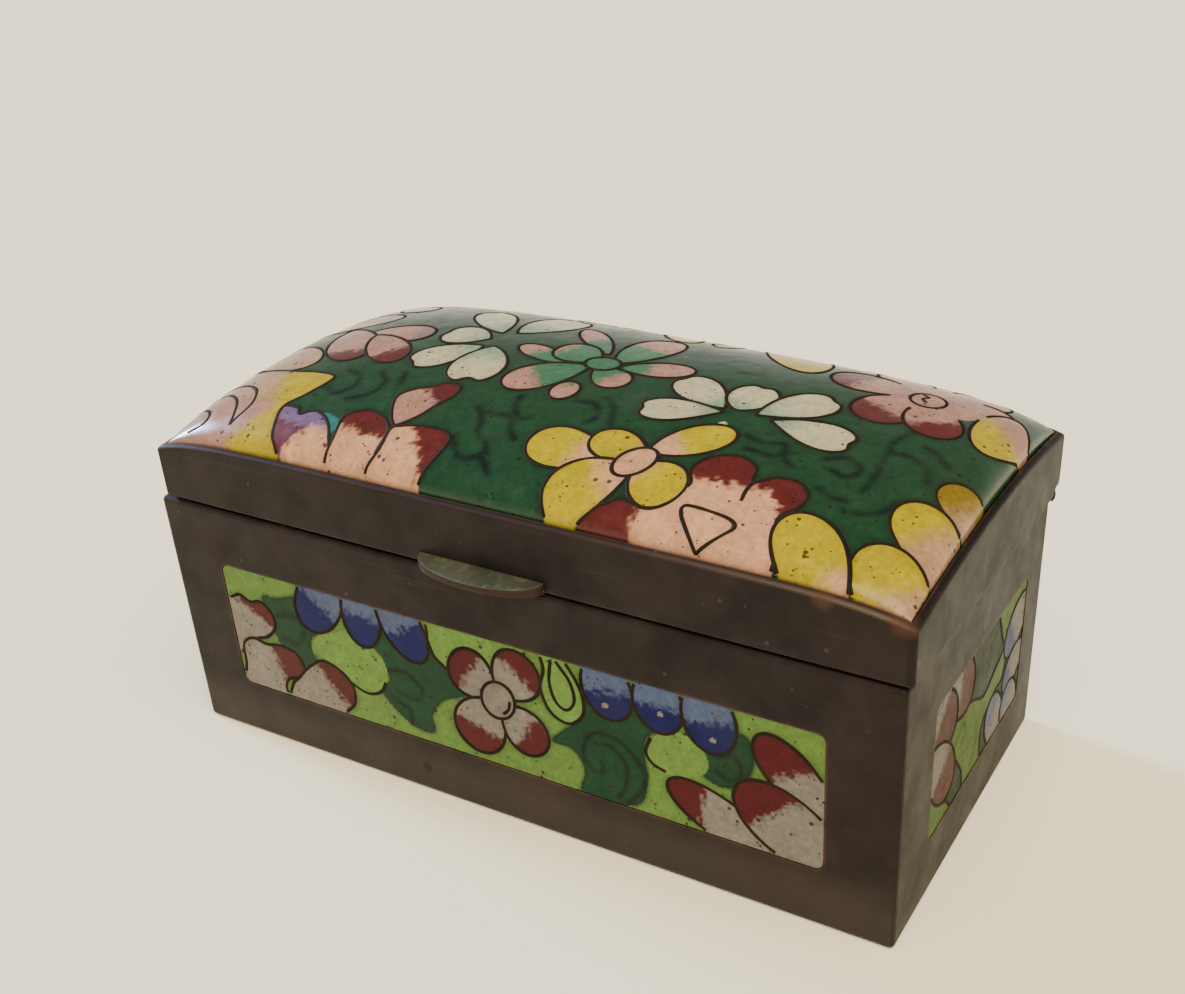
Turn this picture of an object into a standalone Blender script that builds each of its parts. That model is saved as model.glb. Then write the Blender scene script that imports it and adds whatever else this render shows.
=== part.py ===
"""A small cloisonne enamel box: a copper tray with an enamel panel let into each side, and a domed,
enamelled lid that turns on a barrel hinge along the back.

Metres, +Z up. The origin is on the table under the middle of the tray. The front is at -Y, where the
thumb tab is, and the hinge runs along X at the back.
"""

import math

import bmesh
import bpy
from mathutils import Matrix

MM = 0.001

# Tray
TRAY_LENGTH = 100.0 * MM
TRAY_DEPTH = 48.5 * MM
TRAY_HEIGHT = 33.0 * MM
TRAY_WALL = 2.0 * MM
TRAY_FLOOR = 1.6 * MM
TRAY_EDGE = 0.6 * MM

# Enamel panels in the tray's sides
PANEL_SIDE_MARGIN = 8.4 * MM
PANEL_END_MARGIN = 8.2 * MM
END_PANEL_SHIFT = 1.4 * MM
PANEL_BELOW = 7.8 * MM
PANEL_ABOVE = 7.8 * MM
PANEL_CORNER = 1.0 * MM
PANEL_THICKNESS = 0.8 * MM

# Lid: its band stands on the seam, and its top is a cushion that starts inside the rim
SEAM = 0.3 * MM
LID_SHORTER = 0.6 * MM
LID_SHIFT = 0.9 * MM
LID_OVERHANG = 1.75 * MM
LID_WALL = 1.4 * MM
LID_BAND = 6.4 * MM
LID_EDGE = 0.4 * MM
RIM_WIDTH = 1.0 * MM
LONG_RIM_ARCH = 1.7 * MM
END_RIM_ARCH = 2.0 * MM
BACK_RISE = 1.2 * MM
DOME_HEIGHT = 7.8 * MM
LID_SHEET = 0.8 * MM
LID_ENAMEL = 0.8 * MM
CORNER_FALL = 9
DOME_SQUARENESS = 3
DOME_FULLNESS_ALONG = 0.40
DOME_FULLNESS_ACROSS = 0.49
DOME_LEAN_LEFT = 0.10
DOME_LEAN_BACK = 0.12

# Hinge
LEAF_THICKNESS = 0.6 * MM
BOX_LEAF_HEIGHT = 4.4 * MM
LID_LEAF_HEIGHT = 4.6 * MM
BARREL_RADIUS = 1.1 * MM
PIN_RADIUS = 0.5 * MM
PIN_CLEARANCE = 0.1 * MM
KNUCKLES = 5
KNUCKLE_GAP = 0.3 * MM
HINGE_END = 0.4 * MM
RELIEF_LENGTH = 3.0 * MM
RELIEF_HEIGHT = 2.4 * MM

# Thumb tab
TAB_WIDTH = 16.8 * MM
TAB_REACH = 3.1 * MM
TAB_THICKNESS = 1.4 * MM
TAB_FALL = 0.6 * MM
TAB_EDGE = 0.25 * MM

# Fits
INLAY_GAP = 0.1 * MM
MOVING_GAP = 0.3 * MM

# Mesh fineness
LONG_CELLS = 32
CROSS_CELLS = 16
ROUND_SIDES = 24
BEVEL_STEPS = 3
SMOOTH_ANGLE = math.radians(35)
ROUNDED_ANGLE = math.radians(40)
OVERSHOOT = 2.0 * MM

# What follows from the driving dimensions
TRAY_FRONT = -TRAY_DEPTH / 2
TRAY_BACK = TRAY_DEPTH / 2
PANEL_RECESS = PANEL_THICKNESS + INLAY_GAP
PANEL_HEIGHT = TRAY_HEIGHT - PANEL_BELOW - PANEL_ABOVE
PANEL_MIDDLE = PANEL_BELOW + PANEL_HEIGHT / 2
LID_BOTTOM = TRAY_HEIGHT + SEAM
LID_FRONT = TRAY_FRONT
LID_BACK = TRAY_BACK + LID_OVERHANG
LID_X = LID_SHIFT
LID_Y = (LID_FRONT + LID_BACK) / 2
LID_HALF_X = (TRAY_LENGTH - LID_SHORTER) / 2
LID_HALF_Y = (LID_BACK - LID_FRONT) / 2
ENAMEL_HALF_X = LID_HALF_X - RIM_WIDTH
ENAMEL_HALF_Y = LID_HALF_Y - RIM_WIDTH
RECESS_DROP = LID_ENAMEL + INLAY_GAP
CEILING_DROP = RECESS_DROP + LID_SHEET
AXIS_Y = TRAY_BACK + INLAY_GAP + LEAF_THICKNESS / 2
AXIS_Z = TRAY_HEIGHT + SEAM / 2
BORE_RADIUS = PIN_RADIUS + PIN_CLEARANCE
GROOVE_RADIUS = BARREL_RADIUS + MOVING_GAP
HINGE_LENGTH = TRAY_LENGTH - 2 * HINGE_END
KNUCKLE_LENGTH = (HINGE_LENGTH - (KNUCKLES - 1) * KNUCKLE_GAP) / KNUCKLES


def clear_scene():
    for obj in list(bpy.data.objects):
        bpy.data.objects.remove(obj, do_unlink=True)


def new_collection(name, render=True):
    collection = bpy.data.collections.new(name)
    bpy.context.scene.collection.children.link(collection)
    collection.hide_render = not render
    return collection


def new_material(name, colour, roughness, metallic):
    material = bpy.data.materials.new(name)
    material.use_nodes = True
    shader = material.node_tree.nodes["Principled BSDF"]
    shader.inputs["Base Color"].default_value = (*colour, 1.0)
    shader.inputs["Roughness"].default_value = roughness
    shader.inputs["Metallic"].default_value = metallic
    material.diffuse_color = (*colour, 1.0)
    return material


def add_object(bm, name, collection, material=None):
    """The bmesh as an object, with its normals out and its shallow edges smooth."""
    bmesh.ops.recalc_face_normals(bm, faces=bm.faces)
    if bm.calc_volume(signed=True) < 0:
        bmesh.ops.reverse_faces(bm, faces=bm.faces)
    mesh = bpy.data.meshes.new(name)
    bm.to_mesh(mesh)
    bm.free()
    mesh.shade_smooth()
    mesh.set_sharp_from_angle(angle=SMOOTH_ANGLE)
    obj = bpy.data.objects.new(name, mesh)
    collection.objects.link(obj)
    if material:
        mesh.materials.append(material)
    return obj


def as_cutter(obj):
    obj.hide_render = True
    obj.display_type = "WIRE"
    return obj


def boolean(obj, other, operation="DIFFERENCE"):
    modifier = obj.modifiers.new(f"{operation.lower()} {other.name}", "BOOLEAN")
    modifier.operation = operation
    modifier.solver = "EXACT"
    modifier.object = other


def round_edges(obj, width, steps=BEVEL_STEPS):
    modifier = obj.modifiers.new("rounded edges", "BEVEL")
    modifier.width = width
    modifier.segments = steps
    modifier.limit_method = "ANGLE"
    modifier.angle_limit = ROUNDED_ANGLE


def block(name, low, high, collection, material=None):
    """A box between two corners."""
    bm = bmesh.new()
    size = Matrix.Diagonal([high[i] - low[i] for i in range(3)] + [1])
    middle = Matrix.Translation([(high[i] + low[i]) / 2 for i in range(3)])
    bmesh.ops.create_cube(bm, size=1, matrix=middle @ size)
    return add_object(bm, name, collection, material)


def rod(name, radius, x_low, x_high, collection, material=None):
    """A round bar on the hinge's axis."""
    bm = bmesh.new()
    along_x = Matrix.Rotation(math.pi / 2, 4, "Y")
    middle = Matrix.Translation(((x_low + x_high) / 2, AXIS_Y, AXIS_Z))
    bmesh.ops.create_cone(
        bm, cap_ends=True, segments=ROUND_SIDES, radius1=radius, radius2=radius,
        depth=x_high - x_low, matrix=middle @ along_x,
    )
    return add_object(bm, name, collection, material)


def rounded_plate(name, width, height, corner, outer, inner, place, collection, material=None):
    """A plate with round corners: its face looks along the place's +Z, between the depths inner and outer."""
    bm = bmesh.new()
    size = Matrix.Diagonal((width, height, outer - inner, 1))
    middle = Matrix.Translation((0, 0, (outer + inner) / 2))
    bmesh.ops.create_cube(bm, size=1, matrix=middle @ size)
    upright = [e for e in bm.edges if abs(e.verts[0].co.z - e.verts[1].co.z) > abs(outer - inner) / 2]
    bmesh.ops.bevel(bm, geom=upright, offset=corner, segments=BEVEL_STEPS + 1, affect="EDGES", profile=0.5)
    bm.transform(place)
    return add_object(bm, name, collection, material)


def lid_surface(x, y, drop=0.0):
    """Height of the lid's top at a point. A drop gives the surface that lies that far inside it."""
    across = min(abs(x - LID_X) / LID_HALF_X, 1)
    along_depth = max(-1, min((y - LID_Y) / LID_HALF_Y, 1))
    long_arch = LONG_RIM_ARCH * (1 - across**CORNER_FALL)
    end_arch = END_RIM_ARCH * (1 - along_depth**2) * across**CORNER_FALL
    rim = LID_BOTTOM + LID_BAND + BACK_RISE * (along_depth + 1) / 2 + long_arch + end_arch
    u = max(-1, min((x - LID_X) / (ENAMEL_HALF_X - drop), 1))
    v = max(-1, min((y - LID_Y) / (ENAMEL_HALF_Y - drop), 1))
    cushion = (1 - abs(u) ** DOME_SQUARENESS) ** DOME_FULLNESS_ALONG * (1 - v * v) ** DOME_FULLNESS_ACROSS
    lean = (1 - DOME_LEAN_LEFT * u) * (1 + DOME_LEAN_BACK * v)
    return rim + DOME_HEIGHT * cushion * lean - drop


def grid_lines(half, cells, edge=None, rim=None):
    """Places of a grid's lines, closer together towards the ends. An edge moves the end lines, and a rim
    adds one more line beyond each of them."""
    lines = [half * math.sin(math.pi * (i / cells - 0.5)) for i in range(cells + 1)]
    if edge:
        lines[0] = -edge
        lines[-1] = edge
    if rim:
        lines = [-rim, *lines, rim]
    return lines


def lid_grid(x_lines, y_lines, drop, split=False):
    """A grid of faces that follows the lid's surface. Split grids are cut along the same diagonals, so
    that one lies evenly inside another."""
    bm = bmesh.new()
    columns = len(x_lines)
    rows = len(y_lines)
    bmesh.ops.create_grid(bm, x_segments=columns - 1, y_segments=rows - 1, size=1)
    for vert in bm.verts:
        column = round((vert.co.x + 1) / 2 * (columns - 1))
        row = round((vert.co.y + 1) / 2 * (rows - 1))
        x = LID_X + x_lines[column]
        y = LID_Y + y_lines[row]
        vert.co = (x, y, lid_surface(x, y, drop))
    if split:
        bmesh.ops.triangulate(bm, faces=bm.faces, quad_method="FIXED")
    return bm


def close_to_level(bm, level):
    """Draws the grid's outline down or up to a level plane and closes it there."""
    outline = [edge for edge in bm.edges if edge.is_boundary]
    made = bmesh.ops.extrude_edge_only(bm, edges=outline)["geom"]
    for vert in (part for part in made if isinstance(part, bmesh.types.BMVert)):
        vert.co.z = level
    bmesh.ops.holes_fill(bm, edges=[edge for edge in bm.edges if edge.is_boundary])


def make_tray(parts, cutters, copper):
    tray = block(
        "tray", (-TRAY_LENGTH / 2, TRAY_FRONT, 0), (TRAY_LENGTH / 2, TRAY_BACK, TRAY_HEIGHT), parts, copper
    )
    round_edges(tray, TRAY_EDGE)
    inside = block(
        "tray_inside",
        (-TRAY_LENGTH / 2 + TRAY_WALL, TRAY_FRONT + TRAY_WALL, TRAY_FLOOR),
        (TRAY_LENGTH / 2 - TRAY_WALL, TRAY_BACK - TRAY_WALL, TRAY_HEIGHT + OVERSHOOT),
        cutters,
    )
    boolean(tray, as_cutter(inside))
    reach = TRAY_LENGTH / 2 + OVERSHOOT
    boolean(tray, as_cutter(rod("tray_hinge_groove", GROOVE_RADIUS, -reach, reach, cutters)))
    return tray


def side_frames():
    """Name, panel width and place of each side. A place has its +Z out of the side and its +Y up."""
    upright = Matrix.Rotation(math.pi / 2, 4, "X")
    long_side = TRAY_LENGTH - 2 * PANEL_SIDE_MARGIN
    end_side = TRAY_DEPTH - 2 * PANEL_END_MARGIN
    sides = (
        ("front", long_side, 0, TRAY_DEPTH / 2, 0),
        ("right", end_side, math.pi / 2, TRAY_LENGTH / 2, END_PANEL_SHIFT),
        ("back", long_side, math.pi, TRAY_DEPTH / 2, 0),
        ("left", end_side, -math.pi / 2, TRAY_LENGTH / 2, -END_PANEL_SHIFT),
    )
    for name, width, turn, distance, shift in sides:
        out = Matrix.Translation((shift, -distance, PANEL_MIDDLE)) @ upright
        yield name, width, Matrix.Rotation(turn, 4, "Z") @ out


def make_panels(tray, parts, cutters, enamel):
    for name, width, place in side_frames():
        rounded_plate(
            f"{name}_enamel_panel", width, PANEL_HEIGHT, PANEL_CORNER, 0, -PANEL_THICKNESS, place, parts, enamel
        )
        recess = rounded_plate(
            f"{name}_recess",
            width + 2 * INLAY_GAP,
            PANEL_HEIGHT + 2 * INLAY_GAP,
            PANEL_CORNER + INLAY_GAP,
            OVERSHOOT,
            -PANEL_RECESS,
            place,
            cutters,
        )
        boolean(tray, as_cutter(recess))


def make_lid_shell(parts, cutters, copper):
    """The copper lid: a band all round, a rim, and under the enamel a thin domed sheet."""
    x_lines = grid_lines(ENAMEL_HALF_X, LONG_CELLS, rim=LID_HALF_X)
    y_lines = grid_lines(ENAMEL_HALF_Y, CROSS_CELLS, rim=LID_HALF_Y)
    bm = lid_grid(x_lines, y_lines, 0)
    weight = bm.edges.layers.float.new("bevel_weight_edge")
    for edge in bm.edges:
        edge[weight] = 1.0 if edge.is_boundary else 0.0
    close_to_level(bm, LID_BOTTOM)
    for edge in bm.edges:
        upright = all(abs(v.co.x - LID_X) > LID_HALF_X - LID_EDGE for v in edge.verts) and all(
            abs(v.co.y - LID_Y) > LID_HALF_Y - LID_EDGE for v in edge.verts
        )
        if upright:
            edge[weight] = 1.0
    shell = add_object(bm, "lid_shell", parts, copper)
    rounding = shell.modifiers.new("rounded rim", "BEVEL")
    rounding.width = LID_EDGE
    rounding.segments = BEVEL_STEPS
    rounding.limit_method = "WEIGHT"

    bm = lid_grid(
        grid_lines(ENAMEL_HALF_X, LONG_CELLS, edge=ENAMEL_HALF_X + INLAY_GAP),
        grid_lines(ENAMEL_HALF_Y, CROSS_CELLS, edge=ENAMEL_HALF_Y + INLAY_GAP),
        RECESS_DROP,
        split=True,
    )
    close_to_level(bm, lid_surface(LID_X, LID_Y) + OVERSHOOT)
    boolean(shell, as_cutter(add_object(bm, "lid_recess", cutters)))

    bm = lid_grid(
        grid_lines(LID_HALF_X - LID_WALL, LONG_CELLS),
        grid_lines(LID_HALF_Y - LID_WALL, CROSS_CELLS),
        CEILING_DROP,
    )
    close_to_level(bm, LID_BOTTOM - OVERSHOOT)
    boolean(shell, as_cutter(add_object(bm, "lid_inside", cutters)))

    reach = TRAY_LENGTH / 2 + LID_SHIFT + OVERSHOOT
    boolean(shell, as_cutter(rod("lid_hinge_groove", GROOVE_RADIUS, -reach, reach, cutters)))
    for side in (-1, 1):
        boolean(shell, as_cutter(corner_relief(side, cutters)))
    return shell


def corner_relief(side, cutters):
    """A slanted cut that frees the hinge's end, under one back corner of the lid."""
    end = LID_X + side * (LID_HALF_X + OVERSHOOT)
    start = LID_X + side * (LID_HALF_X - RELIEF_LENGTH)
    name = "relief_right" if side > 0 else "relief_left"
    low = (min(start, end), LID_BACK - LID_WALL, LID_BOTTOM - OVERSHOOT)
    high = (max(start, end), LID_BACK + OVERSHOOT, LID_BOTTOM + RELIEF_HEIGHT)
    cutter = block(name, low, high, cutters)
    slope = RELIEF_HEIGHT / LID_WALL
    for vert in cutter.data.vertices:
        if vert.co.z > LID_BOTTOM:
            vert.co.z = LID_BOTTOM + (vert.co.y - low[1]) * slope
    return cutter


def make_lid_enamel(parts, enamel):
    """The domed enamel plate, let in flush inside the rim."""
    bm = lid_grid(
        grid_lines(ENAMEL_HALF_X, LONG_CELLS), grid_lines(ENAMEL_HALF_Y, CROSS_CELLS), 0, split=True
    )
    made = bmesh.ops.extrude_face_region(bm, geom=list(bm.faces))["geom"]
    for vert in (part for part in made if isinstance(part, bmesh.types.BMVert)):
        vert.co.z = lid_surface(vert.co.x, vert.co.y, LID_ENAMEL)
    return add_object(bm, "lid_enamel", parts, enamel)


def make_thumb_tab(parts, brass):
    """A half-moon lip under the front of the lid, thinner towards its edge."""
    face = LID_FRONT - INLAY_GAP
    bm = bmesh.new()
    size = Matrix.Diagonal((TAB_WIDTH / 2, TAB_REACH, TAB_THICKNESS, 1))
    middle = Matrix.Translation((0, face, LID_BOTTOM + TAB_THICKNESS / 2))
    bmesh.ops.create_cone(
        bm, cap_ends=True, segments=2 * ROUND_SIDES, radius1=1, radius2=1, depth=1, matrix=middle @ size
    )
    everything = list(bm.verts) + list(bm.edges) + list(bm.faces)
    bmesh.ops.bisect_plane(bm, geom=everything, plane_co=(0, face, 0), plane_no=(0, 1, 0), clear_outer=True)
    bmesh.ops.holes_fill(bm, edges=[edge for edge in bm.edges if edge.is_boundary])
    for vert in bm.verts:
        if vert.co.z > LID_BOTTOM + TAB_THICKNESS / 2:
            vert.co.z -= TAB_FALL * (face - vert.co.y) / TAB_REACH
    tab = add_object(bm, "thumb_tab", parts, brass)
    round_edges(tab, TAB_EDGE, steps=2)
    return tab


def knuckle_span(index):
    start = -HINGE_LENGTH / 2 + index * (KNUCKLE_LENGTH + KNUCKLE_GAP)
    return start, start + KNUCKLE_LENGTH


def make_hinge_leaf(name, low, high, own, others, parts, cutters, brass):
    """A leaf with its rolled knuckles, cleared round the other leaf's knuckles and bored for the pin."""
    leaf = block(name, low, high, parts, brass)
    for index in own:
        knuckle = rod(f"{name}_knuckle_{index + 1}", BARREL_RADIUS, *knuckle_span(index), cutters)
        boolean(leaf, as_cutter(knuckle), "UNION")
    for index in others:
        start, end = knuckle_span(index)
        clear = rod(
            f"{name}_clearance_{index + 1}", GROOVE_RADIUS, start - KNUCKLE_GAP, end + KNUCKLE_GAP, cutters
        )
        boolean(leaf, as_cutter(clear))
    reach = HINGE_LENGTH / 2 + OVERSHOOT
    boolean(leaf, as_cutter(rod(f"{name}_bore", BORE_RADIUS, -reach, reach, cutters)))
    return leaf


def make_hinge(parts, cutters, brass):
    """The pin and both leaves. The leaf that turns with the lid is returned."""
    half = HINGE_LENGTH / 2
    rod("hinge_pin", PIN_RADIUS, -half, half, parts, brass)
    make_hinge_leaf(
        "hinge_leaf_box",
        (-half, AXIS_Y - LEAF_THICKNESS / 2, AXIS_Z - BOX_LEAF_HEIGHT),
        (half, AXIS_Y + LEAF_THICKNESS / 2, AXIS_Z),
        range(0, KNUCKLES, 2),
        range(1, KNUCKLES, 2),
        parts,
        cutters,
        brass,
    )
    leaf_face = LID_BACK - LID_WALL - INLAY_GAP
    inside = LID_HALF_X - LID_WALL - INLAY_GAP
    return make_hinge_leaf(
        "hinge_leaf_lid",
        (max(-half, LID_X - inside), leaf_face - LEAF_THICKNESS, AXIS_Z + MOVING_GAP / 2),
        (min(half, LID_X + inside), leaf_face, AXIS_Z + LID_LEAF_HEIGHT),
        range(1, KNUCKLES, 2),
        range(0, KNUCKLES, 2),
        parts,
        cutters,
        brass,
    )


def hang_on_axis(pieces, parts):
    """Parents the lid's pieces, and the cutters that shape them, to an empty on the hinge's axis."""
    axis = bpy.data.objects.new("lid_axis", None)
    axis.location = (0, AXIS_Y, AXIS_Z)
    parts.objects.link(axis)
    back = Matrix.Translation((0, -AXIS_Y, -AXIS_Z))
    for piece in pieces:
        tools = [modifier.object for modifier in piece.modifiers if modifier.type == "BOOLEAN"]
        for obj in [piece, *tools]:
            obj.parent = axis
            obj.matrix_parent_inverse = back


def main():
    clear_scene()
    parts = new_collection("cloisonne box")
    cutters = new_collection("cutters", render=False)
    copper = new_material("patinated copper", (0.060, 0.042, 0.034), 0.42, 0.9)
    brass = new_material("dull brass", (0.20, 0.15, 0.08), 0.45, 0.9)
    green = new_material("emerald enamel", (0.012, 0.105, 0.035), 0.18, 0.0)
    lime = new_material("lime enamel", (0.30, 0.46, 0.06), 0.2, 0.0)
    tray = make_tray(parts, cutters, copper)
    make_panels(tray, parts, cutters, lime)
    shell = make_lid_shell(parts, cutters, copper)
    enamel = make_lid_enamel(parts, green)
    tab = make_thumb_tab(parts, brass)
    lid_leaf = make_hinge(parts, cutters, brass)
    hang_on_axis([shell, enamel, tab, lid_leaf], parts)


main()
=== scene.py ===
import math

import bpy
import numpy as np
from mathutils import Euler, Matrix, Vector


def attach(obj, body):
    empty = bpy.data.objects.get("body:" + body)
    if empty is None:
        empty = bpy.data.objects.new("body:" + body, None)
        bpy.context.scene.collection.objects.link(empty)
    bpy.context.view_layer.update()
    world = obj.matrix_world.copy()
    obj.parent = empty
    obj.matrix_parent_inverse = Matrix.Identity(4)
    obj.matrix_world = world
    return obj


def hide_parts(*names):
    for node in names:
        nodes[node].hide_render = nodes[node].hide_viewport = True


MM = 0.001

# Sizes of the box in millimetres, the same as the part's own
TRAY_LENGTH = 100.0
TRAY_DEPTH = 48.5
LID_X = 0.9
LID_Y = 0.875
LID_HALF_X = 49.7
LID_HALF_Y = 25.125
ENAMEL_HALF_X = 48.7
ENAMEL_HALF_Y = 24.125
LID_BOTTOM = 33.3
LID_BAND = 6.4
BACK_RISE = 1.2
LONG_RIM_ARCH = 1.7
END_RIM_ARCH = 2.0
CORNER_FALL = 9
DOME_HEIGHT = 7.8
DOME_SQUARENESS = 3
DOME_FULLNESS_ALONG = 0.40
DOME_FULLNESS_ACROSS = 0.49
DOME_LEAN_LEFT = 0.10
DOME_LEAN_BACK = 0.12
PANEL_LENGTH = 83.2
PANEL_LOW = 7.8
PANEL_HIGH = 25.2
END_PANEL_WIDTH = 32.1
END_PANEL_SHIFT = 1.4
PANEL_CORNER = 1.0
PLATE_THICKNESS = 0.8
HINGE_Y = 24.65
HINGE_Z = 33.15
PIN_HEAD_RADIUS = 0.75
PIN_HEAD_PROUD = 0.45

# The enamel's surface lies a little below the metal, and the wires stand a little above the enamel
ENAMEL_SUNK = 0.09
WIRE_PROUD = 0.055
WIRE_WIDTH = 0.45
WIRE_STEP = 0.14
LID_PITCH = 0.24
PANEL_PITCH = 0.17
UNDERSIDE_STEP = 12


def tone(r, g, b):
    """A colour given as it looks on a screen, 0 to 255, as linear light."""
    return tuple(c / 255 / 12.92 if c < 11 else ((c / 255 + 0.055) / 1.055) ** 2.4 for c in (r, g, b))


# Enamel colours of the lid
EMERALD = tone(34, 75, 45)
VEIN = tone(10, 24, 18)
CREAM = tone(186, 178, 138)
PALE_GREEN = tone(128, 152, 120)
YELLOW = tone(176, 155, 12)
OCHRE = tone(132, 110, 20)
BLUSH = tone(204, 150, 112)
SHELL = tone(172, 134, 100)
ROSE = tone(168, 122, 104)
MAUVE = tone(130, 98, 92)
RED = tone(88, 31, 28)
MINT = tone(60, 108, 76)
LILAC = tone(112, 92, 126)
PLUM = tone(98, 44, 60)
TURQUOISE = tone(44, 108, 106)

# Enamel colours of the side panels
LIME = tone(100, 134, 60)
LEAF = tone(14, 60, 36)
LEAF_VEIN = tone(4, 14, 12)
WHITE = tone(126, 118, 108)
BRICK = tone(78, 14, 22)
SKY = tone(76, 88, 120)
BLUE = tone(6, 14, 78)
GREY_BLUE = tone(86, 96, 124)
DULL_LIME = tone(76, 104, 44)
DULL_GREEN = tone(26, 46, 34)
DULL_WHITE = tone(124, 118, 110)
DULL_BRICK = tone(82, 46, 44)
DULL_BLUE = tone(66, 76, 112)


# Flat shapes. Every outline is an array of plan positions in millimetres.


def petal(base, tip, width, point=0.45, notch=0.0, bend=0.0, steps=56):
    """A petal's outline from its base round its tip. A larger point makes the base more pointed."""
    turn = np.linspace(0, 2 * math.pi, steps, endpoint=False)
    along = (1 - np.cos(turn)) / 2
    across = np.sin(turn) * along**point
    across *= width / 2 / np.abs(across).max()
    base, tip = np.array(base, float), np.array(tip, float)
    axis = tip - base
    length = np.hypot(*axis)
    side = np.array([-axis[1], axis[0]]) / length
    dent = notch / length * np.exp(-(((turn - math.pi) / 0.26) ** 2))
    across = across + bend * np.sin(math.pi * along)
    return base + np.outer(along - dent, axis) + np.outer(across, side)


def oval(centre, radius_x, radius_y, tilt=0.0, steps=40):
    turn = np.linspace(0, 2 * math.pi, steps, endpoint=False)
    a = math.radians(tilt)
    x, y = radius_x * np.cos(turn), radius_y * np.sin(turn)
    c, s = math.cos(a), math.sin(a)
    return np.array(centre) + np.stack([x * c - y * s, x * s + y * c], 1)


def smooth_path(points, closed, steps=9):
    """A smooth curve through a few points."""
    p = np.array(points, float)
    n = len(p)
    spans = range(n if closed else n - 1)
    out = []
    for i in spans:
        if closed:
            a, b, c, d = (p[(i + k) % n] for k in (-1, 0, 1, 2))
        else:
            b, c = p[i], p[i + 1]
            a = p[i - 1] if i else 2 * b - c
            d = p[i + 2] if i + 2 < n else 2 * c - b
        square = 2 * a - 5 * b + 4 * c - d
        cube = 3 * b - a - 3 * c + d
        for t in np.arange(steps) / steps:
            out.append(0.5 * (2 * b + (c - a) * t + square * t**2 + cube * t**3))
    if not closed:
        out.append(p[-1])
    return np.array(out)


def blob(*points):
    return smooth_path(points, True)


def within(points, outline):
    """Which points lie inside a closed outline."""
    result = np.zeros(len(points), bool)
    low, high = outline.min(0), outline.max(0)
    near = np.where(((points >= low) & (points <= high)).all(1))[0]
    x, y = points[near].T
    inside = np.zeros(len(near), bool)
    previous = outline[-1]
    for corner in outline:
        (x1, y1), (x2, y2) = previous, corner
        crosses = (y1 > y) != (y2 > y)
        if y1 != y2:
            inside ^= crosses & (x < (x2 - x1) * (y - y1) / (y2 - y1) + x1)
        previous = corner
    result[near] = inside
    return result


def grain(points, size, seed=0):
    """Smooth random values between 0 and 1 that vary over a given distance."""
    p = points / size
    cell = np.floor(p)
    f = p - cell
    f = f * f * (3 - 2 * f)

    def at(i, j):
        h = np.sin((cell[:, 0] + i) * 127.1 + (cell[:, 1] + j) * 311.7 + seed * 74.7) * 43758.5453
        return h - np.floor(h)

    low = at(0, 0) * (1 - f[:, 0]) + at(1, 0) * f[:, 0]
    high = at(0, 1) * (1 - f[:, 0]) + at(1, 1) * f[:, 0]
    return low * (1 - f[:, 1]) + high * f[:, 1]


def distance_to(points, path, reach):
    """How far each point is from a path, up to a reach."""
    found = np.full(len(points), reach)
    near = np.where(((points > path.min(0) - reach) & (points < path.max(0) + reach)).all(1))[0]
    for x, y in path:
        found[near] = np.minimum(found[near], np.hypot(points[near, 0] - x, points[near, 1] - y))
    return found


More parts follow.
